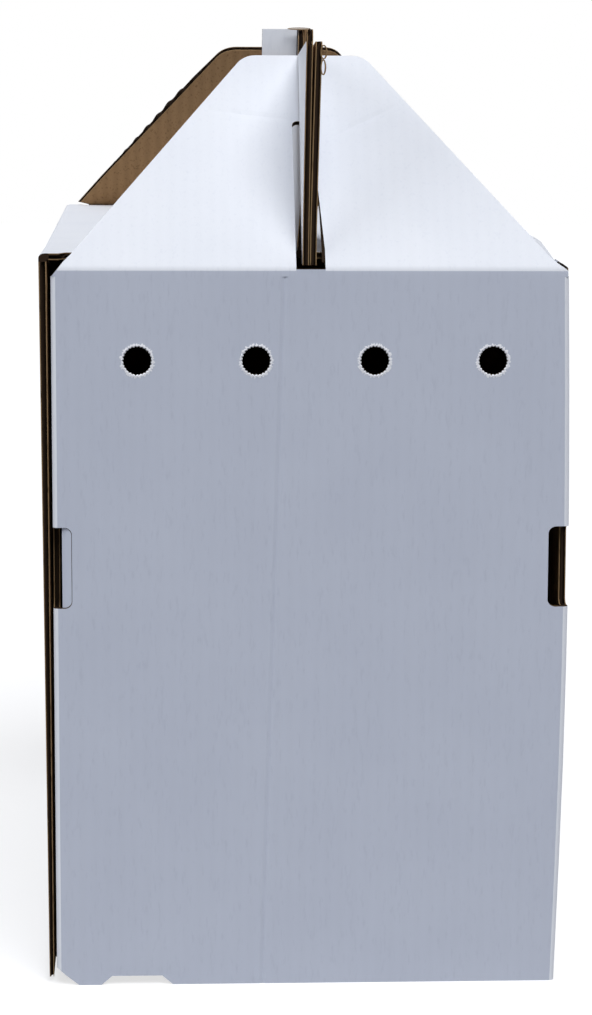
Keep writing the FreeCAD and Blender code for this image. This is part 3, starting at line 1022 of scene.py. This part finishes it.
@dataclass
class AirHoleRims:
    """The torn white fibre round the punched air holes of both ends, set whiter than the liner partly as a
    painted highlight.
    """

    frame: CarrierFrame
    paper: Paper
    count: int = 4
    pitch: float = mm(64.4)
    shift: float = mm(3.0)
    drop: float = mm(50.0)
    radius: float = mm(8.1)
    segments: int = 120
    scallops: int = 26
    scallop: float = mm(0.3)
    lip: float = mm(1.1)
    lift_wander: float = 0.04
    seed: int = 7

    def ring(self, bm: bmesh.types.BMesh, centre: Vector, outward: Vector, draw: random.Random) -> None:
        """Add one ragged ring round a hole's centre on the panel's face, made uneven by the draws."""
        loops: list[list[bmesh.types.BMVert]] = []
        for reach, lift, wander, scallop in (
            (self.radius - mm(0.4), -0.3, mm(0.1), self.scallop),
            (self.radius + mm(0.2), 0.22, mm(0.1), self.scallop),
            (self.radius + self.lip, 0.02, self.lip * 0.7, 0.0),
        ):
            made = bmesh.ops.create_circle(bm, segments=self.segments, radius=1.0)["verts"]
            for vert in made:
                angle = math.atan2(vert.co.y, vert.co.x)
                r = reach + draw.uniform(-1.0, 1.0) * wander + scallop * math.cos(self.scallops * angle)
                rise = outward * mm(lift + draw.uniform(-self.lift_wander, self.lift_wander))
                vert.co = centre + (X * math.cos(angle) + Z * math.sin(angle)) * r + rise
            loops.append(made)
        for inner, outer in zip(loops, loops[1:]):
            edges = [e for v in inner for e in v.link_edges if e.other_vert(v) in inner]
            edges += [e for v in outer for e in v.link_edges if e.other_vert(v) in outer]
            bmesh.ops.bridge_loops(bm, edges=list(set(edges)))

    def build(self) -> None:
        """Build the rims of the front and of the rear end."""
        f = self.frame
        draw = random.Random(self.seed)
        centre = (f.right + f.front_left) / 2.0 + self.shift
        for end, edge, outward in (("front", f.front, -1), ("rear", f.rear, 1)):
            bm = bmesh.new()
            for i in range(self.count):
                x = centre + (i - (self.count - 1) / 2.0) * self.pitch
                self.ring(bm, Vector((x, edge, f.end_height - self.drop)), Y * outward, draw)
            bmesh.ops.recalc_face_normals(bm, faces=bm.faces[:])
            piece = new_piece(f"air_hole_rims_{end}", bm, [self.paper.torn])
            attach(piece, "carton")
            LOG.info("%s: %d faces", piece.name, len(piece.data.polygons))


@dataclass
class TornLiner:
    """A loop of liner that has come away from the flutes at a cut edge of the handle."""

    name: str
    body: str
    paper: Paper
    centre: Vector
    half_width: float
    half_height: float
    depth: float = mm(5.0)
    sheet: float = mm(0.6)
    steps: int = 24

    def build(self) -> None:
        """Build the loop and let it ride on its board."""
        bm = bmesh.new()
        for grow in (0.0, self.sheet):
            for vert in bmesh.ops.create_circle(bm, segments=self.steps, radius=1.0)["verts"]:
                across = vert.co.x * (self.half_width + grow)
                vert.co = self.centre + Vector((across, 0, vert.co.y * (self.half_height + grow)))
        bmesh.ops.bridge_loops(bm, edges=bm.edges[:])
        extrude(bm, bm.faces[:], Y * self.depth)
        bmesh.ops.recalc_face_normals(bm, faces=bm.faces[:])
        piece = new_piece(self.name, bm, [self.paper.layers[FluteRun.ACROSS_Y][Layer.CUT.value]])
        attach(piece, self.body)


def torn_liners(frame: CarrierFrame, paper: Paper) -> list[TornLiner]:
    """The loops at the top of the right front ear, and the curl on the handle's top edge."""
    ear = frame.front + mm(2.5)
    handle = frame.front + mm(96.3)
    right, left = "right_handle", "left_handle"
    upper, lower = Vector((mm(9.2), ear, mm(517.0))), Vector((mm(9.0), ear, mm(509.0)))
    top = Vector((mm(0.5), handle, mm(529.2)))
    return [
        TornLiner("torn_loop_upper", right, paper, upper, mm(1.3), mm(3.2)),
        TornLiner("torn_loop_lower", right, paper, lower, mm(0.9), mm(3.6)),
        TornLiner("torn_curl_top", left, paper, top, mm(6.0), mm(0.1), depth=mm(1.6)),
    ]


@dataclass
class Studio:
    """White backdrop, soft light from above and in front, and the photograph's camera."""

    frame: CarrierFrame
    camera_across: float = mm(-79.05)
    camera_before_front: float = mm(1515.8)
    camera_height: float = mm(528.7)
    yaw: float = math.radians(2.7)
    pitch: float = math.radians(9.82)
    roll: float = math.radians(0.29)
    focal_px: float = 2817.0
    frame_px: tuple[float, float] = (592.0, 1015.0)
    principal_px: tuple[float, float] = (-5.6, 9.7)
    sensor: float = 36.0
    sun_from: Vector = field(default_factory=lambda: Vector((0.2, -0.49, 0.84)))
    sun_strength: float = 2.5
    sun_angle: float = math.radians(38.0)
    fill_from: Vector = field(default_factory=lambda: Vector((-0.85, -0.3, 0.42)))
    fill_strength: float = 0.9
    ambient: str = "#4c515e"
    floor_colour: str = "#a8a9ab"
    floor_glow: float = 0.7
    floor_half: float = 6.0

    def camera(self) -> None:
        """Set up the camera that the photograph was taken with."""
        forward = Vector(
            (
                math.sin(self.yaw) * math.cos(self.pitch),
                math.cos(self.yaw) * math.cos(self.pitch),
                -math.sin(self.pitch),
            )
        )
        level = Vector((math.cos(self.yaw), -math.sin(self.yaw), 0.0))
        right = level * math.cos(self.roll) + level.cross(forward) * math.sin(self.roll)
        up = right.cross(forward)
        data = bpy.data.cameras.new("camera")
        data.sensor_fit = "VERTICAL"
        data.sensor_height = self.sensor
        data.lens = self.sensor * self.focal_px / self.frame_px[1]
        data.shift_x = -self.principal_px[0] / self.frame_px[1]
        data.shift_y = self.principal_px[1] / self.frame_px[1]
        data.clip_end = 50.0
        camera = bpy.data.objects.new("camera", data)
        turn = Matrix((right, up, -forward)).transposed().to_4x4()
        place = Vector((self.camera_across, self.frame.front - self.camera_before_front, self.camera_height))
        camera.matrix_world = Matrix.Translation(place) @ turn
        bpy.context.scene.collection.objects.link(camera)
        bpy.context.scene.camera = camera

    def light(self) -> None:
        """Add the soft key and fill lights and dim surroundings, white where the camera looks at them."""
        for name, source, strength in (
            ("key", self.sun_from, self.sun_strength),
            ("fill", self.fill_from, self.fill_strength),
        ):
            data = bpy.data.lights.new(name, "SUN")
            data.energy = strength
            data.angle = self.sun_angle
            lamp = bpy.data.objects.new(name, data)
            lamp.rotation_euler = source.to_track_quat("Z", "Y").to_euler()
            bpy.context.scene.collection.objects.link(lamp)
        world = bpy.data.worlds.new("surroundings")
        world.use_nodes = True
        tree = world.node_tree
        tree.nodes.clear()
        rays = add_node(tree, "ShaderNodeLightPath")
        seen = rays.outputs["Is Camera Ray"]
        for kind in ("Is Glossy Ray", "Is Transmission Ray"):
            links = {0: seen, 1: rays.outputs[kind]}
            seen = add_node(tree, "ShaderNodeMath", links, operation="MAXIMUM").outputs[0]
        colour = mix_colours(tree, seen, linear(self.ambient), (1.0, 1.0, 1.0, 1.0))
        glow = add_node(tree, "ShaderNodeBackground", {"Color": colour, "Strength": 1.0})
        add_node(tree, "ShaderNodeOutputWorld", {"Surface": glow.outputs[0]})
        bpy.context.scene.world = world

    def floor(self) -> None:
        """Lay the pale floor, which shows white and keeps the carrier's shadow."""
        bm = bmesh.new()
        bmesh.ops.create_grid(bm, x_segments=1, y_segments=1, size=self.floor_half)
        material = bpy.data.materials.new("pale_floor")
        material.use_nodes = True
        tree = material.node_tree
        tree.nodes.clear()
        rays = add_node(tree, "ShaderNodeLightPath")
        matt = add_node(tree, "ShaderNodeBsdfDiffuse", {"Color": linear(self.floor_colour)})
        glow = add_node(tree, "ShaderNodeEmission", {"Strength": self.floor_glow})
        both = add_node(tree, "ShaderNodeAddShader", {0: matt.outputs[0], 1: glow.outputs[0]})
        shown = add_node(
            tree,
            "ShaderNodeMixShader",
            {0: rays.outputs["Is Camera Ray"], 1: matt.outputs[0], 2: both.outputs[0]},
        )
        add_node(tree, "ShaderNodeOutputMaterial", {"Surface": shown.outputs[0]})
        floor = new_piece("floor", bm, [material])

    def build(self) -> None:
        """Set the stage."""
        bpy.context.scene.view_settings.view_transform = "Standard"
        self.camera()
        self.light()
        self.floor()


def main() -> None:
    """Build the dressed carrier and its studio."""
    logging.basicConfig(level=logging.INFO, format="%(message)s")
    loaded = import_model()
    paper = Paper()
    frame = CarrierFrame.read()
    Carton(frame, paper).build(loaded["nodes"])
    AirHoleRims(frame, paper).build()
    for liner in torn_liners(frame, paper):
        liner.build()
    Studio(frame).build()


if __name__ == "__main__":
    main()
